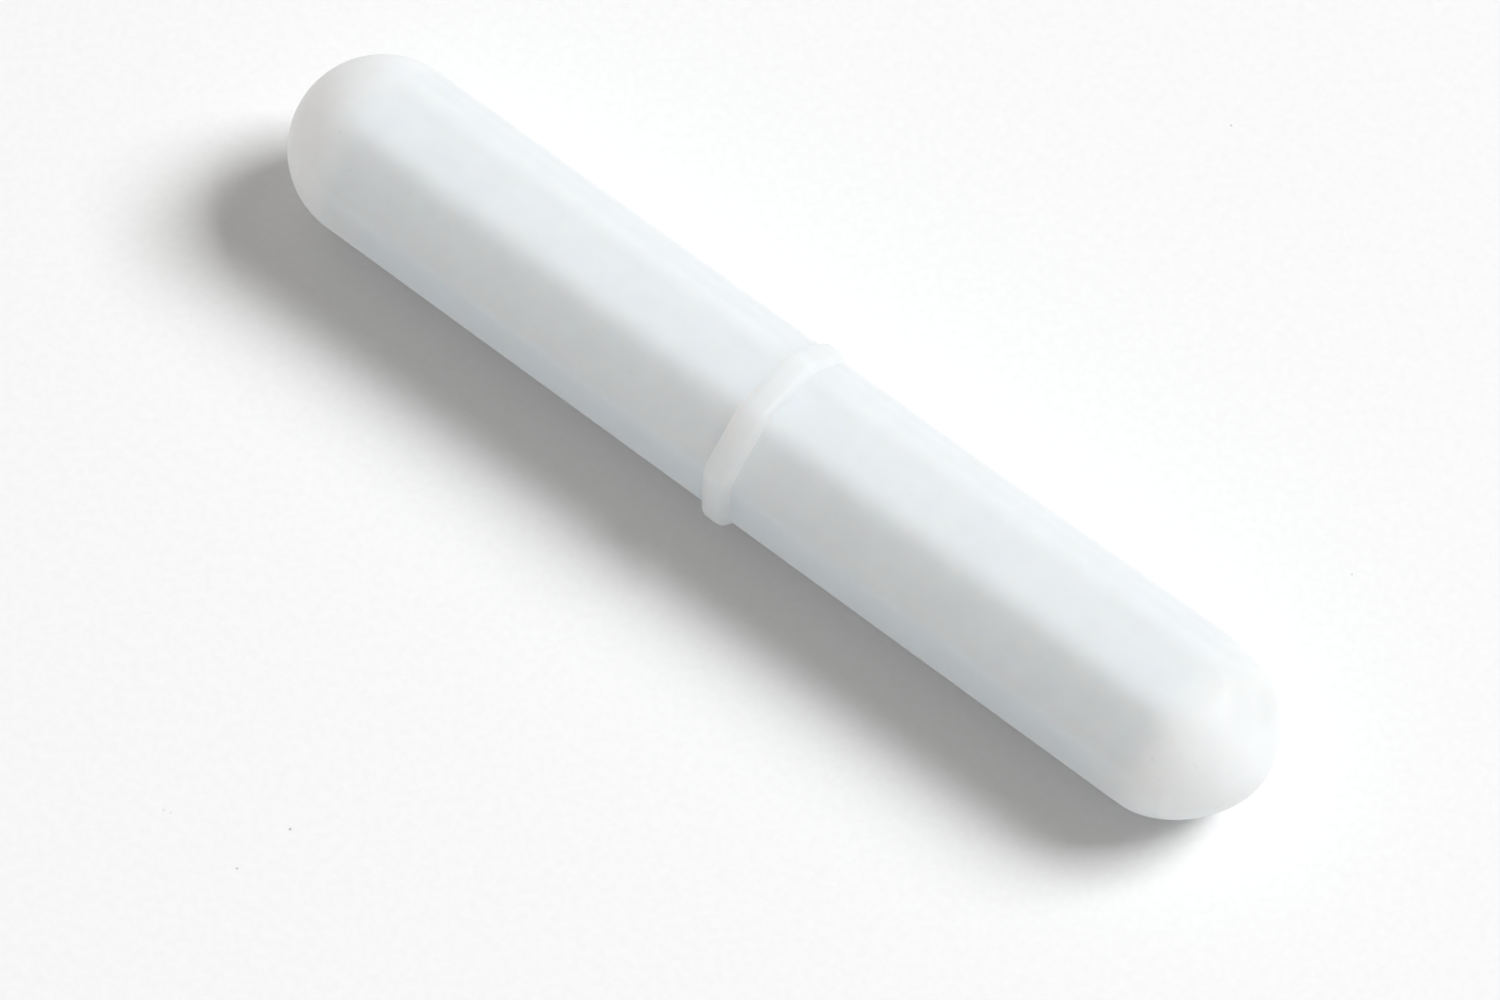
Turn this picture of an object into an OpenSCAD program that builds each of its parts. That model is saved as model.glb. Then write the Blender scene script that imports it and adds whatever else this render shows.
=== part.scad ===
// Magnetic stir bar: a magnet rod sealed in a moulded jacket with an octagonal barrel and a pivot ring.
// The bar's axis lies along X, and its centre is the origin. One flat of the barrel faces up, +Z.
// Lengths are in millimetres.

/* [Jacket] */
// Width of the barrel across two opposite edges, and diameter of the rounded ends
body_d = 8; // [6:0.5:12]
// Length over both rounded ends
body_l = 50; // [25:1:80]
// How far each flat lies below the edges beside it
flat_cut = 0.2; // [0.1:0.05:0.2]
// Wall of the jacket between a flat and the magnet's pocket
wall = 0.75; // [0.5:0.05:1.2]

/* [Pivot ring] */
// Width of the ring along the barrel
ring_w = 1.4; // [1:0.1:3]
// Height of the ring above the flats, and above the edges between them
ring_proud = 0.35; // [0.2:0.05:0.6]
// Radius of the round shoulder on each side of the ring's crest
ring_shoulder = 0.3; // [0.1:0.05:0.4]

/* [Magnet] */
// Gap left all round the magnet in its pocket
fit_gap = 0.05; // [0.02:0.01:0.1]
// How far the magnet reaches into each rounded end
magnet_reach = 1; // [0:0.1:1.2]
// Chamfer on the magnet's two end edges
magnet_chamfer = 0.4; // [0.2:0.1:0.8]

/* [Hidden] */

// Facets around a full turn
$fn = 128;

// The barrel has eight flats, evenly spaced around its axis
sides = 8;

body_r = body_d / 2;
flat_r = body_r - flat_cut;

// Distance from the bar's centre to the centre of each hemispherical end
dome_x = body_l / 2 - body_r;

magnet_r = flat_r - wall - fit_gap;
magnet_l = 2 * (dome_x + magnet_reach);

// The pocket's chamfer is a little wider than the magnet's, so that the gap is even all round
pocket_r = magnet_r + fit_gap;
pocket_l = magnet_l + 2 * fit_gap;
pocket_chamfer = magnet_chamfer + fit_gap * (2 - sqrt(2));

// The ring follows the barrel's flats and edges, all at one height above them
ring_flat_r = flat_r + ring_proud;
ring_edge_r = body_r + ring_proud;

// Turns a half profile around the X axis: its first coordinate is radius, its second runs along X
module turned_on_x()
    rotate([0, 90, 0])
        rotate_extrude()
            children();

// Half profile of the round bar: a straight side between two quarter circles
module bar_profile()
    intersection() {
        union() {
            translate([0, -dome_x])
                square([body_r, 2 * dome_x]);
            for (side = [-1, 1])
                translate([0, side * dome_x])
                    circle(r = body_r);
        }
        translate([0, -body_l / 2])
            square([body_r, body_l]);
    }

// Section of the ring on its full height, through the axis: a rectangle of half height r with its
// four corners rounded to the shoulder's radius
module ring_section(r) {
    inner_r = r - ring_shoulder;
    inner_x = ring_w / 2 - ring_shoulder;
    square([2 * r, 2 * inner_x], center = true);
    square([2 * inner_r, ring_w], center = true);
    for (up = [-1, 1], side = [-1, 1])
        translate([up * inner_r, side * inner_x])
            circle(r = ring_shoulder);
}

// Half profile of a rod with chamfered ends, centred on the origin
module rod_profile(r, l, chamfer)
    polygon([
        [0, -l / 2],
        [r - chamfer, -l / 2],
        [r, -l / 2 + chamfer],
        [r, l / 2 - chamfer],
        [r - chamfer, l / 2],
        [0, l / 2]
    ]);

// Round bar with the flats cut along it. A flat ends in a round arc on each hemispherical end,
// and what is left of the round bar between two flats is the barrel's rounded edge.
module barrel()
    difference() {
        turned_on_x()
            bar_profile();
        for (k = [0 : sides - 1])
            rotate([k * 360 / sides, 0, 0])
                translate([-body_l / 2, -body_r, flat_r])
                    cube([body_l, body_d, body_r]);
    }

// Pivot ring, solid to the axis: a round ring with a band of the section across each pair of
// opposite flats, of which what they all share is kept
module ring()
    intersection() {
        turned_on_x()
            intersection() {
                ring_section(ring_edge_r);
                translate([0, -ring_w])
                    square([ring_edge_r, 2 * ring_w]);
            }
        intersection_for (k = [0 : sides / 2 - 1])
            rotate([k * 360 / sides, 0, 0])
                rotate([90, 90, 0])
                    linear_extrude(height = 4 * body_d, center = true)
                        ring_section(ring_flat_r);
    }

// Moulded jacket: barrel and ring in one piece, closed all round the magnet's pocket
module jacket()
    color([0.93, 0.94, 0.95])
        difference() {
            union() {
                barrel();
                ring();
            }
            turned_on_x()
                rod_profile(pocket_r, pocket_l, pocket_chamfer);
        }

// Cast magnet rod, sealed in the jacket
module magnet()
    color([0.33, 0.33, 0.35])
        turned_on_x()
            rod_profile(magnet_r, magnet_l, magnet_chamfer);

jacket();
magnet();
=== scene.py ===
"""Looks for the magnetic stir bar: a white moulded jacket with an octagonal barrel and a pivot
ring, over a sealed magnet rod, lying on white paper. Lengths in the shape functions are in
millimetres and are turned to metres when a mesh is made. Colours are linear."""

import math

import bpy
import numpy as np
from mathutils import Matrix, Vector


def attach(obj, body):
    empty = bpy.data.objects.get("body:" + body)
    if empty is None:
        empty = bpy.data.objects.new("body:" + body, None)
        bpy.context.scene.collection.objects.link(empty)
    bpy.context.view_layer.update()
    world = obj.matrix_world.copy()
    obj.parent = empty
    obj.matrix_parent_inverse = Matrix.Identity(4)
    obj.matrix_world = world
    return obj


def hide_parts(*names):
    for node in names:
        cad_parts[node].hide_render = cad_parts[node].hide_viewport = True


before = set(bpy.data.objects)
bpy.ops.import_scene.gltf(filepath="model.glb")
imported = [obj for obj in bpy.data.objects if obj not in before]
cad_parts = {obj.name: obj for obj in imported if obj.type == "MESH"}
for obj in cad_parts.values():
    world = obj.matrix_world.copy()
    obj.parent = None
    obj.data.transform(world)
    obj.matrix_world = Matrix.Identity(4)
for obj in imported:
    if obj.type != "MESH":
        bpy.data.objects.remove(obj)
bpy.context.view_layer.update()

MM = 0.001

# ---- Barrel and rounded ends, in millimetres, as the solids have them ----
SIDES = 8
BODY_R = 4.0
FLAT_R = 3.8
HALF_L = 25.0
DOME_X = HALF_L - BODY_R
FLAT_END_X = DOME_X + math.sqrt(BODY_R ** 2 - FLAT_R ** 2)

# ---- Pivot ring: as wide as the solids have it, but lower, with rounder shoulders, a slightly
# crowned crest and a steep fall past its foot. It is shifted off the axis, at an angle from +Z
# towards -Y. ----
RING_HALF_W = 0.70
RING_PROUD = 0.28
RING_SHOULDER = 0.42
RING_CROWN = 0.05
RING_FALL = 4.0
RING_SHIFT = 0.07
RING_SHIFT_ANGLE = math.radians(114.2)

# ---- Softness of the moulding: radii of the edges, and bands over which two surfaces join. The
# ring is joined on only within its zone around the middle. ----
EDGE_R = 1.37
RING_EDGE_R = 0.9
FLAT_END_BLEND = 0.19
RING_FOOT_BLEND = 0.2
RING_ZONE = 2.0

# ---- Worn patch low on the +X end: depth, direction from the end's centre, reach in degrees ----
WEAR_DEPTH = 0.25
WEAR_DIRECTION = (0.678, -0.563, -0.472)
WEAR_REACH = (5.0, 52.0)

# ---- Slight swell of the +X half on its far side: height, direction, start and end along X ----
SWELL_HEIGHT = 0.12
SWELL_DIRECTION = (0.0, 0.912, 0.41)
SWELL_REACH = (7.0, 21.0)

# ---- Fineness of the jacket's grid: columns around, and points along each stretch of the axis.
# The points at the ring's foot crowd towards it, by a power of their place in their reach. ----
AROUND = 256
CREST_POINTS = 7
SHOULDER_POINTS = 13
FOOT_POINTS = 21
FOOT_REACH = 0.4242641
FOOT_CROWDING = 1.5
PLAIN_POINTS = 27
DOME_POINTS = 57

# ---- Small marks on the jacket: place, radius and depth of tone ----
MARKS = (
    ((-24.7, -0.6, 1.1), 0.10, 0.12),
    ((-21.6, -2.0, 3.4), 0.12, 0.07),
    ((-20.4, -2.8, 2.6), 0.14, 0.04),
    ((-18.3, -2.7, 2.6), 0.14, 0.04),
    ((-17.6, -2.2, 3.1), 0.12, 0.05),
    ((-5.5, -2.7, 2.6), 0.14, 0.04),
    ((7.2, -0.4, 3.8), 0.13, 0.03),
    ((21.6, -3.0, 2.4), 0.12, 0.06),
    ((22.2, -3.2, 1.8), 0.22, 0.05),
    ((23.1, -2.2, 2.6), 0.08, 0.06),
    ((23.2, -2.2, 2.5), 0.08, 0.07),
    ((23.3, -2.1, 2.4), 0.08, 0.06),
)

# ---- Specks on the paper: place along X and Y, radius and depth of tone ----
SPECKS = (
    ((-4.9, -24.9), 0.09, 0.45),
    ((-5.4, -27.6), 0.08, 0.40),
    ((-9.4, -27.5), 0.09, 0.15),
    ((-9.1, -27.4), 0.08, 0.15),
    ((4.2, 25.9), 0.08, 0.35),
    ((21.2, 11.8), 0.08, 0.25),
)

# Share of a spot's radius over which it keeps its full depth
SPOT_CORE = 0.2

# ---- Jacket's colours: over the magnet, over the magnet on the side towards -Y, which carries a
# painted bluer tint of light, and where the jacket is solid. The magnet's tint ends along X
# between the two places of CORE_END. ----
CORE = (0.805, 0.844, 0.864, 1)
PAINTED_BLUE_CORE = (0.787, 0.844, 0.884, 1)
SOLID = (0.828, 0.854, 0.862, 1)
CORE_END = (20.5 * MM, 22.8 * MM)

# ---- Jacket's gloss, and how deep light goes under its surface: over the magnet, on the ring and
# in the solid ends, with red deepest ----
ROUGHNESS = 0.4
SPECULAR = 0.22
REFRACTION = 1.36
SSS_RADIUS = (1.18, 1.0, 0.9)
CORE_SSS = 0.004
RING_SSS = 0.010
TIP_SSS = 0.014

# ---- Jacket's faint mottle: fineness, detail, range of the noise and the two tones it gives ----
MOTTLE = (900.0, 3.0)
MOTTLE_BAND = (0.3, 0.7)
MOTTLE_TONES = (0.989, 1.011)

# ---- Jacket's fine grain: fineness and detail, strength and height of the bump ----
SKIN_GRAIN = (9000.0, 3.0)
SKIN_BUMP = (0.05, 0.02 * MM)

# ---- Painted shade and painted tints of light on the jacket. Each band says where a smooth step
# starts and ends: in metres, or as the part of the outward direction that lies along the named
# one, from -1 to 1. ----
# Painted shade on what faces the softbox: a little on top, more at the side, most at the tips
PAINTED_SHADE_DIRECTION = (0.42, 0.56, 0.71)
TOP_BAND = (0.4, 0.75)
TOP_GREY = 0.972
SIDE_BAND = (0.72, 1.0)
SIDE_GREY = 0.14
TIP_BAND = (0.4, 0.8)
TIP_GREY = 0.045
# Painted shade on the underside of the barrel, by height
UNDER_BAND = (1.0 * MM, 1.8 * MM)
UNDER_GREY = 0.95
# Painted shade on the edge of the barrel beyond the brightest flat, and what part of the side's
# painted shade it gets
EDGE_DIRECTION = (0.0, 0.924, 0.383)
EDGE_BAND = (0.9, 0.975)
EDGE_PART = 0.85
# Painted shade on the far rim of the +X end
RIM_DIRECTION = (0.78, 0.58, 0.23)
RIM_BAND = (0.8, 0.97)
RIM_GREY = 0.07
# Painted bluer tint of light on the side towards -Y, up to where it ends along X
PAINTED_BLUE_DIRECTION = (0.0, -1.0, 0.0)
PAINTED_BLUE_BAND = (0.88, 0.98)
PAINTED_BLUE_END = (17.5 * MM, 20.5 * MM)

# ---- Ring's tones: it ends along X in RING_BAND. Painted light brings it nearer the solid colour
# away from the painted shade's direction, and painted shade makes it a little greyer towards
# it. ----
RING_BAND = (0.64 * MM, 0.78 * MM)
RING_SIDES = (0.3, 0.7)
RING_PAINTED_LIGHT = 0.45
RING_PAINTED_SHADE = 0.03

# ---- Light thrown on the barrel by the ring's +X side: start and end along X, the directions
# past which it fades, and its share of the tone ----
GLOW_START = (0.6 * MM, 0.8 * MM)
GLOW_END = (0.8 * MM, 3.5 * MM)
GLOW_SIDES = (0.74, 0.86)
RING_GLOW = 0.032

# ---- Magnet: two greys of the cast grain, its fineness, detail and roughness, the range of the
# noise for colour and for gloss, the gloss itself, and strength and height of the bump ----
CAST_DARK = (0.060, 0.060, 0.063, 1)
CAST_LIGHT = (0.105, 0.104, 0.106, 1)
CAST_GRAIN = (2500.0, 5.0, 0.6)
CAST_COLOUR_BAND = (0.35, 0.65)
CAST_GLOSS_BAND = (0.3, 0.7)
CAST_ROUGHNESS = (0.45, 0.62)
CAST_METALLIC = 0.85
CAST_BUMP = (0.25, 0.05 * MM)

# ---- Paper: half its side in metres, fineness, detail and roughness of its shade and of its
# grain, range of the noise, the two tones it gives, gloss, and strength and height of the bump ----
PAPER_HALF = 0.6
PAPER_SHADE = (2600.0, 3.0, 0.6)
PAPER_SHADE_BAND = (0.3, 0.7)
PAPER_TONES = (0.936, 0.964)
PAPER_GRAIN = (1800.0, 4.0, 0.6)
PAPER_ROUGHNESS = 0.9
PAPER_SPECULAR = 0.1
PAPER_BUMP = (0.12, 0.04 * MM)

# ---- Softbox: direction, distance in metres, half its width as an angle, level and colour ----
KEY_AZIMUTH = math.radians(50.2)
KEY_ELEVATION = math.radians(48.7)
KEY_DISTANCE = 3.0
KEY_HALF = math.radians(13.2)
KEY_LEVEL = 0.75
KEY_COLOUR = (0.985, 1.0, 1.01)

# ---- Surroundings: level, share of it lost along each axis, and colour ----
WORLD_LEVEL = 0.30
WORLD_TILT = (0.4, 0.3, 0.0)
WORLD_COLOUR = (1.03, 1.0, 0.97, 1)

# ---- Camera: it looks down on the bar, tipped towards +X and towards -Y, from a distance in
# metres. Sensor and lens are in millimetres, and the shift is in shares of the view's width. ----
TIP_X = math.radians(16.38)
TIP_Y = math.radians(24.2)
VIEW_TURN = math.radians(35.84)
CAMERA_DISTANCE = 0.3277
CAMERA_SENSOR = 36.0
CAMERA_LENS = 192.0
CAMERA_SHIFT = (-0.0166667, -0.0446667)
CAMERA_CLIP = (0.01, 10.0)


def smooth_min(a, b, k):
    """The lower of a and b, with the corner between them rounded off over a band of k: a quarter
    of k times the square of how deep the pair lies in the band is taken away. A band of 0 leaves
    the corner sharp."""
    h = np.maximum(k - np.abs(a - b), 0.0) / np.maximum(k, 1e-9)
    return np.minimum(a, b) - h * h * k / 4


def smooth_max(a, b, k):
    """The higher of a and b, with the hollow between them filled over a band of k."""
    return -smooth_min(-a, -b, k)


def smooth_step(u):
    """Rises from 0 at u = 0 to 1 at u = 1, level at both: u squared times 3 less twice u."""
    u = np.clip(u, 0.0, 1.0)
    return u * u * (3 - 2 * u)


def unit(arms):
    """Each arm over its own length."""
    return arms / np.linalg.norm(arms, axis=-1, keepdims=True)


def octagon_radius(angle, flat_r, edge_r):
    """Radius of the octagon at an angle from +Z: a flat gives flat_r over the cosine of
    the angle from its middle, and past the point where the edge's arc starts, the radius is where
    the ray meets a circle of edge_r centred under the edge."""
    step = 2 * math.pi / SIDES
    from_flat = np.abs((angle + step / 2) % step - step / 2)
    from_edge = step / 2 - from_flat
    centre = (flat_r - edge_r) / math.cos(step / 2)
    arc = centre * np.cos(from_edge) + np.sqrt(
        np.maximum(edge_r ** 2 - (centre * np.sin(from_edge)) ** 2, 0.0)
    )
    arc_start = math.atan((flat_r - edge_r) * math.tan(step / 2) / flat_r)
    return np.where(from_flat < arc_start, flat_r / np.cos(from_flat), arc)


def ring_drop(x):
    """How far the pivot ring lies below the middle of its crest at x: a crown that falls with the
    square of x, a round shoulder on each side, and a steep fall past the foot, where the barrel
    takes over."""
    out = np.abs(x)
    past = np.clip(out - (RING_HALF_W - RING_SHOULDER), 0.0, RING_SHOULDER)
    arc = RING_SHOULDER - np.sqrt(RING_SHOULDER ** 2 - past ** 2)
    crown = RING_CROWN * (out / RING_HALF_W) ** 2
    beyond = RING_FALL * np.maximum(out - RING_HALF_W, 0.0)
    return crown + arc + beyond


def stations():
    """Places along the axis, each as x and the radius of the round bar there: close together over
    the ring and over the rounded ends, wide apart along the plain barrel. A shoulder's points and
    an end's points are evenly spaced in angle."""
    crest_half = RING_HALF_W - RING_SHOULDER
    crest = np.linspace(0, crest_half, CREST_POINTS)[1:-1]
    shoulder = crest_half + RING_SHOULDER * np.sin(np.linspace(0, math.pi / 2, SHOULDER_POINTS))
    foot = RING_HALF_W + FOOT_REACH * np.linspace(0, 1, FOOT_POINTS)[1:] ** FOOT_CROWDING
    side = np.concatenate([crest, shoulder, foot])
    ring = np.concatenate([-side[::-1], [0.0], side])
    plain = np.linspace(side[-1], DOME_X, PLAIN_POINTS)[1:-1]
    turn = np.linspace(0, math.pi / 2, DOME_POINTS)[:-1]
    dome_x = DOME_X + BODY_R * np.sin(turn)
    dome_r = BODY_R * np.cos(turn)
    x = np.concatenate([-dome_x[::-1], -plain[::-1], ring, plain, dome_x])
    straight = np.full(len(ring) + 2 * len(plain), BODY_R)
    return x, np.concatenate([dome_r[::-1], straight, dome_r])


def jacket_outside():
    """Grid of the jacket's outer surface, one row per station and one column per angle: the round
    bar's radius and the octagon's are joined with a smooth minimum that fades out towards the
    edges, and the ring is joined on with a smooth maximum. The swell is added at the end, and the
    wear taken off."""
    x, round_r = stations()
    angle = np.arange(AROUND) * 2 * math.pi / AROUND
    section = octagon_radius(angle, FLAT_R, EDGE_R)[None, :]
    blend = FLAT_END_BLEND * (BODY_R - section) / (BODY_R - FLAT_R)
    radius = smooth_min(section, round_r[:, None], blend)
    crest = octagon_radius(angle, FLAT_R + RING_PROUD, RING_EDGE_R)[None, :]
    crest = crest + RING_SHIFT * np.cos(angle - RING_SHIFT_ANGLE)
    ring = crest - ring_drop(x)[:, None]
    near_ring = (np.abs(x) < RING_ZONE)[:, None]
    radius = np.where(near_ring, smooth_max(radius, ring, RING_FOOT_BLEND), radius)
    along = np.broadcast_to(x[:, None], radius.shape)
    grid = np.stack([along, -radius * np.sin(angle), radius * np.cos(angle)], -1)
    return grid + swell(grid) - wear(grid)


def wear(grid):
    """What is worn off the +X end at each point, as a vector away from the end's centre: the full
    depth inside the patch's inner reach, falling smoothly to nothing at its outer reach."""
    arm = unit(grid - np.array([DOME_X, 0.0, 0.0]))
    apart = np.degrees(np.arccos(np.clip(arm @ np.array(WEAR_DIRECTION), -1, 1)))
    near, far = WEAR_REACH
    return arm * (WEAR_DEPTH * smooth_step((far - apart) / (far - near)))[..., None]


def swell(grid):
    """How far each point of the +X half stands out: along the swell's direction, by the swell's
    height times two smooth steps, one along the bar and one of the share of the point's own
    direction from the axis that lies along the swell's."""
    x = grid[..., 0]
    arm = unit(grid - np.stack([np.clip(x, -DOME_X, DOME_X), 0 * x, 0 * x], -1))
    direction = np.array(SWELL_DIRECTION)
    start, end = SWELL_REACH
    height = SWELL_HEIGHT * smooth_step((x - start) / (end - start)) * smooth_step(arm @ direction)
    return height[..., None] * direction


def closed_grid(grid):
    """Vertices and faces of a grid that closes on itself around and ends in a pole at each end.
    Each pole is one vertex on the axis, joined to the last row by a fan."""
    rows, cols = grid.shape[:2]
    poles = [[-HALF_L, 0, 0], [HALF_L, 0, 0]]
    verts = np.concatenate([grid.reshape(-1, 3), poles])
    i, j = np.meshgrid(np.arange(rows - 1), np.arange(cols), indexing="ij")
    k = (j + 1) % cols
    quads = np.stack([i * cols + j, (i + 1) * cols + j, (i + 1) * cols + k, i * cols + k], -1)
    here = np.arange(cols)
    beside = (here + 1) % cols
    first, last = rows * cols, rows * cols + 1
    last_row = (rows - 1) * cols
    fan_first = np.stack([np.full(cols, first), here, beside], -1)
    fan_last = np.stack([np.full(cols, last), last_row + beside, last_row + here], -1)
    return verts, quads.reshape(-1, 4), np.concatenate([fan_first, fan_last])


def scene_object(name, data):
    """A new object of the scene that holds the data."""
    obj = bpy.data.objects.new(name, data)
    bpy.context.scene.collection.objects.link(obj)
    return obj


def smooth_object(name, verts, quads, tris):
    """One smooth-shaded mesh in metres, from vertices in millimetres and two arrays of faces."""
    mesh = bpy.data.meshes.new(name)
    mesh.from_pydata((verts * MM).tolist(), [], quads.tolist() + tris.tolist())
    mesh.polygons.foreach_set("use_smooth", np.ones(len(mesh.polygons), bool))
    mesh.update()
    return scene_object(name, mesh)


def paper_sheet():
    """A flat sheet under the bar: it passes the ring's lowest flat where its crest ends, and the
    end of the barrel's lowest flat on the +X half, onto which the bar has tipped."""
    crest_end = RING_HALF_W - RING_SHOULDER
    ring_low = FLAT_R + RING_PROUD + RING_SHIFT * math.cos(math.pi - RING_SHIFT_ANGLE)
    rise = (ring_low - FLAT_R) / (FLAT_END_X - crest_end)
    level = -(ring_low + rise * crest_end) * MM
    s = PAPER_HALF
    corners = [(-s, -s), (s, -s), (s, s), (-s, s)]
    mesh = bpy.data.meshes.new("paper_floor")
    mesh.from_pydata([(x, y, level + rise * x) for x, y in corners], [], [(0, 1, 2, 3)])
    return scene_object("paper_floor", mesh)


class Nodes:
    """Short hand for building the node tree of one material or of the world."""

    def __init__(self, owner, output="ShaderNodeOutputMaterial"):
        owner.use_nodes = True
        self.tree = owner.node_tree
        self.tree.nodes.clear()
        self.out = self.add(output)

    def add(self, kind, values=None, **props):
        """A new node with its properties set, and each input linked or set to its value."""
        node = self.tree.nodes.new(kind)
        for key, value in props.items():
            setattr(node, key, value)
        for key, value in (values or {}).items():
            if isinstance(value, bpy.types.NodeSocket):
                self.tree.links.new(value, node.inputs[key])
            else:
                node.inputs[key].default_value = value
        return node

    def surface(self, shader):
        """Joins the shader to the output."""
        self.tree.links.new(shader.outputs[0], self.out.inputs["Surface"])

    def place(self, kind="Object"):
        """Coordinates of each point."""
        return self.add("ShaderNodeTexCoord").outputs[kind]

    def parts(self, vector):
        """The three parts of a vector."""
        return self.add("ShaderNodeSeparateXYZ", {0: vector}).outputs

    def math(self, operation, a, b=0.0, c=0.0):
        """Result of one operation on up to three numbers."""
        return self.add("ShaderNodeMath", {0: a, 1: b, 2: c}, operation=operation).outputs[0]

    def product(self, *factors):
        """All the factors multiplied in turn."""
        result = factors[0]
        for factor in factors[1:]:
            result = self.math("MULTIPLY", result, factor)
        return result

    def rest(self, part):
        """What is left of 1."""
        return self.math("SUBTRACT", 1.0, part)

    def mix(self, factor, a, b, blend="MIX"):
        """Colour a where the factor is 0, and blended with colour b where it is 1."""
        values = {0: factor, 6: a, 7: b}
        return self.add("ShaderNodeMix", values, data_type="RGBA", blend_type=blend).outputs[2]

    def ramp(self, value, band, low=0.0, high=1.0):
        """A smooth step from low at the band's start to high at its end."""
        values = {
            "Value": value,
            "From Min": band[0],
            "From Max": band[1],
            "To Min": low,
            "To Max": high,
        }
        node = self.add("ShaderNodeMapRange", values, interpolation_type="SMOOTHSTEP")
        return node.outputs[0]

    def noise(self, vector, scale, detail, rough=0.5):
        """Cloudy noise around one half."""
        values = {"Vector": vector, "Scale": scale, "Detail": detail, "Roughness": rough}
        return self.add("ShaderNodeTexNoise", values).outputs["Fac"]

    def bump(self, height, strength, distance):
        """Surface direction tilted by the height."""
        values = {"Strength": strength, "Distance": distance, "Height": height}
        return self.add("ShaderNodeBump", values).outputs[0]

    def grey(self, tone):
        """The tone as a colour."""
        return self.add("ShaderNodeCombineColor", {0: tone, 1: tone, 2: tone}).outputs[0]


def spots(n, where, places):
    """Factor on a colour: lowered by each spot's depth at its middle, and 1 past its radius."""
    factors = []
    for place, radius, depth in places:
        middle = [v * MM for v in place]
        apart = n.add("ShaderNodeVectorMath", {0: where, 1: middle}, operation="DISTANCE")
        band = (SPOT_CORE * radius * MM, radius * MM)
        factors.append(n.ramp(apart.outputs["Value"], band, 1.0 - depth, 1.0))
    return n.product(*factors)


def outward(n, where):
    """Unit direction to each place from the nearest point of the line between the two rounded
    ends' centres."""
    x, y, z = n.parts(where)
    inner = n.math("MINIMUM", n.math("MAXIMUM", x, -DOME_X * MM), DOME_X * MM)
    beyond = n.math("SUBTRACT", x, inner)
    arm = n.add("ShaderNodeCombineXYZ", {0: beyond, 1: y, 2: z}).outputs[0]
    return n.add("ShaderNodeVectorMath", {0: arm}, operation="NORMALIZE").outputs[0]


def direction_part(n, out, direction):
    """How far each outward direction points along a fixed one, from 1 to -1."""
    dot = n.add("ShaderNodeVectorMath", {0: out, 1: direction}, operation="DOT_PRODUCT")
    return dot.outputs["Value"]


def painted_shading(n, out, towards, z, past_core):
    """Factor on the jacket's colour that paints shade: it falls a little on the flats and on the
    end that lie towards the painted shade's direction, which lies near the softbox's, on the
    barrel's edge beyond them and on the barrel's underside."""
    top = n.ramp(towards, TOP_BAND, 1.0, TOP_GREY)
    edge = n.ramp(direction_part(n, out, EDGE_DIRECTION), EDGE_BAND, 0.0, EDGE_PART)
    edge = n.product(edge, n.rest(past_core))
    near = n.math("MAXIMUM", n.ramp(towards, SIDE_BAND), edge)
    side = n.math("MULTIPLY_ADD", near, -SIDE_GREY, 1.0)
    tip = n.product(past_core, n.math("ADD", near, n.ramp(towards, TIP_BAND)))
    side = n.math("MULTIPLY_ADD", tip, -TIP_GREY, side)
    # Painted shade on the barrel's underside
    under = n.math("MAXIMUM", n.ramp(z, UNDER_BAND, UNDER_GREY, 1.0), past_core)
    return n.product(top, side, under)


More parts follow.
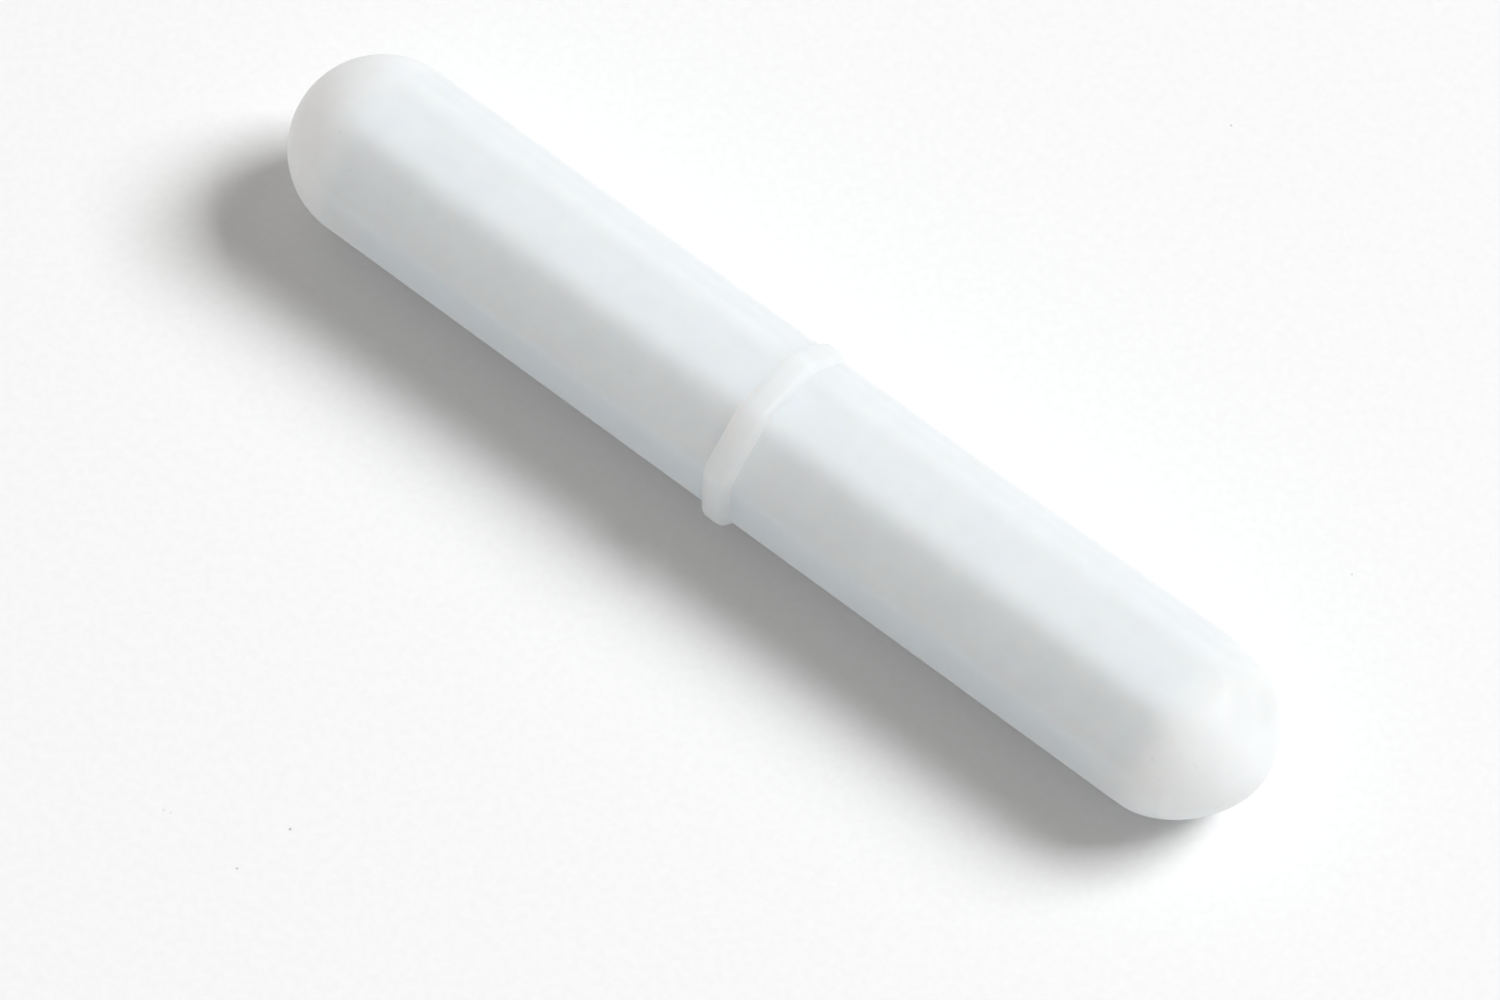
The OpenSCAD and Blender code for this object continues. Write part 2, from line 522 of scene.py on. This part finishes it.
def jacket_material():
    """Moulded fluoropolymer: white, slightly translucent, satin. The colour over the magnet gives
    way to the solid one past the magnet's end, and partly on the ring as painted light; a painted
    bluer tint of light lies on the side towards -Y. It is multiplied by the mottle, the painted
    shade, the marks and the ring's painted shade, and lifted by painted light beside the ring."""
    material = bpy.data.materials.new("moulded_fluoropolymer")
    n = Nodes(material)
    where = n.place()
    x, _, z = n.parts(where)
    from_ring = n.math("ABSOLUTE", x)
    out = outward(n, where)
    # Part of each outward direction along the painted shade's direction, which lies near the
    # softbox's
    towards = direction_part(n, out, PAINTED_SHADE_DIRECTION)
    past_core = n.ramp(from_ring, CORE_END)
    ring = n.ramp(from_ring, RING_BAND, 1.0, 0.0)

    # Painted bluer tint of light on the side towards -Y
    painted_blue = n.ramp(direction_part(n, out, PAINTED_BLUE_DIRECTION), PAINTED_BLUE_BAND)
    painted_blue = n.product(painted_blue, n.ramp(from_ring, PAINTED_BLUE_END, 1.0, 0.0))
    # Painted light on the ring's sides away from the softbox
    ring_painted_light = n.product(ring, n.ramp(towards, RING_SIDES, RING_PAINTED_LIGHT, 0.0))
    solid = n.math("MAXIMUM", past_core, ring_painted_light)
    body = n.mix(solid, n.mix(painted_blue, CORE, PAINTED_BLUE_CORE), SOLID)

    # Painted shade on the ring's sides towards the softbox
    ring_painted_shade = n.product(ring, n.ramp(towards, RING_SIDES, 0.0, RING_PAINTED_SHADE))
    shade = n.product(
        n.ramp(n.noise(where, *MOTTLE), MOTTLE_BAND, *MOTTLE_TONES),
        painted_shading(n, out, towards, z, past_core),
        spots(n, where, MARKS),
        n.rest(ring_painted_shade),
        # Painted shade on the far rim of the +X end
        n.ramp(direction_part(n, out, RIM_DIRECTION), RIM_BAND, 1.0, 1.0 - RIM_GREY),
    )
    # Painted light thrown on the barrel beside the ring's +X side
    glow = n.product(
        n.ramp(x, GLOW_START),
        n.ramp(x, GLOW_END, RING_GLOW, 0.0),
        n.ramp(towards, GLOW_SIDES, 1.0, 0.0),
        n.rest(painted_blue),
    )
    shade = n.math("MULTIPLY_ADD", shade, glow, shade)

    depth = n.math("MULTIPLY_ADD", ring, RING_SSS - CORE_SSS, CORE_SSS)
    depth = n.math("MULTIPLY_ADD", past_core, TIP_SSS - CORE_SSS, depth)
    n.surface(
        n.add(
            "ShaderNodeBsdfPrincipled",
            {
                "Base Color": n.mix(1.0, body, n.grey(shade), "MULTIPLY"),
                "Roughness": ROUGHNESS,
                "IOR": REFRACTION,
                "Specular IOR Level": SPECULAR,
                "Subsurface Weight": 1.0,
                "Subsurface Radius": SSS_RADIUS,
                "Subsurface Scale": depth,
                "Subsurface Anisotropy": 0.0,
                "Normal": n.bump(n.noise(where, *SKIN_GRAIN), *SKIN_BUMP),
            },
            subsurface_method="RANDOM_WALK",
        )
    )
    return material


def magnet_material():
    """Cast magnet alloy: dark grey, slightly rough, with a cast grain."""
    material = bpy.data.materials.new("cast_magnet_alloy")
    n = Nodes(material)
    grain = n.noise(n.place(), *CAST_GRAIN)
    n.surface(
        n.add(
            "ShaderNodeBsdfPrincipled",
            {
                "Base Color": n.mix(n.ramp(grain, CAST_COLOUR_BAND), CAST_DARK, CAST_LIGHT),
                "Metallic": CAST_METALLIC,
                "Roughness": n.ramp(grain, CAST_GLOSS_BAND, *CAST_ROUGHNESS),
                "Normal": n.bump(grain, *CAST_BUMP),
            },
        )
    )
    return material


def paper_material():
    """White paper floor with a faint grain and a few specks of dust. Shade and specks are the same
    at every height, so they read only X and Y."""
    material = bpy.data.materials.new("white_paper")
    n = Nodes(material)
    where = n.place()
    x, y, _ = n.parts(where)
    flat = n.add("ShaderNodeCombineXYZ", {0: x, 1: y}).outputs[0]
    specks = [((*place, 0.0), radius, depth) for place, radius, depth in SPECKS]
    shade = n.product(
        n.ramp(n.noise(flat, *PAPER_SHADE), PAPER_SHADE_BAND, *PAPER_TONES),
        spots(n, flat, specks),
    )
    n.surface(
        n.add(
            "ShaderNodeBsdfPrincipled",
            {
                "Base Color": n.grey(shade),
                "Roughness": PAPER_ROUGHNESS,
                "Specular IOR Level": PAPER_SPECULAR,
                "Normal": n.bump(n.noise(where, *PAPER_GRAIN), *PAPER_BUMP),
            },
        )
    )
    return material


def softbox():
    """A square lamp that points at the bar. Its power is the level times the square of pi times
    its distance, over the sine of its elevation, so the floor gets the same light from any
    distance and height."""
    data = bpy.data.lights.new("softbox", "AREA")
    data.shape = "SQUARE"
    data.size = 2 * KEY_DISTANCE * math.tan(KEY_HALF)
    data.color = KEY_COLOUR
    data.energy = KEY_LEVEL * (math.pi * KEY_DISTANCE) ** 2 / math.sin(KEY_ELEVATION)
    level_part = math.cos(KEY_ELEVATION)
    towards = Vector(
        (
            level_part * math.cos(KEY_AZIMUTH),
            level_part * math.sin(KEY_AZIMUTH),
            math.sin(KEY_ELEVATION),
        )
    )
    obj = scene_object("softbox", data)
    obj.location = towards * KEY_DISTANCE
    obj.rotation_euler = towards.to_track_quat("Z", "Y").to_euler()


def studio_world():
    """Nearly even white surroundings, brighter on the side away from the softbox: the strength
    falls in a straight line along each axis by that axis's tilt."""
    world = bpy.data.worlds.new("studio")
    n = Nodes(world, "ShaderNodeOutputWorld")
    level = WORLD_LEVEL
    for part, tilt in zip(n.parts(n.place("Generated")), WORLD_TILT):
        level = n.math("MULTIPLY_ADD", part, -WORLD_LEVEL * tilt, level)
    n.surface(n.add("ShaderNodeBackground", {"Color": WORLD_COLOUR, "Strength": level}))
    bpy.context.scene.world = world


def camera():
    """The camera's back direction leans by TIP_X along the bar and TIP_Y across it. In its view the
    bar's axis falls to the right by VIEW_TURN."""
    cos_x, sin_x = math.cos(TIP_X), math.sin(TIP_X)
    cos_y, sin_y = math.cos(TIP_Y), math.sin(TIP_Y)
    cos_turn, sin_turn = math.cos(VIEW_TURN), math.sin(VIEW_TURN)
    back = Vector((sin_x, -cos_x * sin_y, cos_x * cos_y))
    along = Vector((cos_x, sin_x * sin_y, -sin_x * cos_y))
    across = Vector((0, -cos_y, -sin_y))
    right = cos_turn * along - sin_turn * across
    up = -(sin_turn * along + cos_turn * across)
    data = bpy.data.cameras.new("camera")
    data.sensor_width = CAMERA_SENSOR
    data.lens = CAMERA_LENS
    data.shift_x, data.shift_y = CAMERA_SHIFT
    data.clip_start, data.clip_end = CAMERA_CLIP
    obj = scene_object("camera", data)
    turn = Matrix((right, up, back)).transposed()
    obj.matrix_world = Matrix.Translation(back * CAMERA_DISTANCE) @ turn.to_4x4()
    bpy.context.scene.camera = obj


# ---- The bar ----
jacket = smooth_object("moulded_jacket", *closed_grid(jacket_outside()))
jacket.data.materials.append(jacket_material())
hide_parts("jacket")
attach(jacket, "root")

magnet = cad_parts["magnet"]
magnet.data.materials.clear()
magnet.data.materials.append(magnet_material())

# ---- The paper it lies on ----
paper = paper_sheet()
paper.data.materials.append(paper_material())

# ---- Light and camera ----
softbox()
studio_world()
camera()
bpy.context.scene.view_settings.view_transform = "Standard"
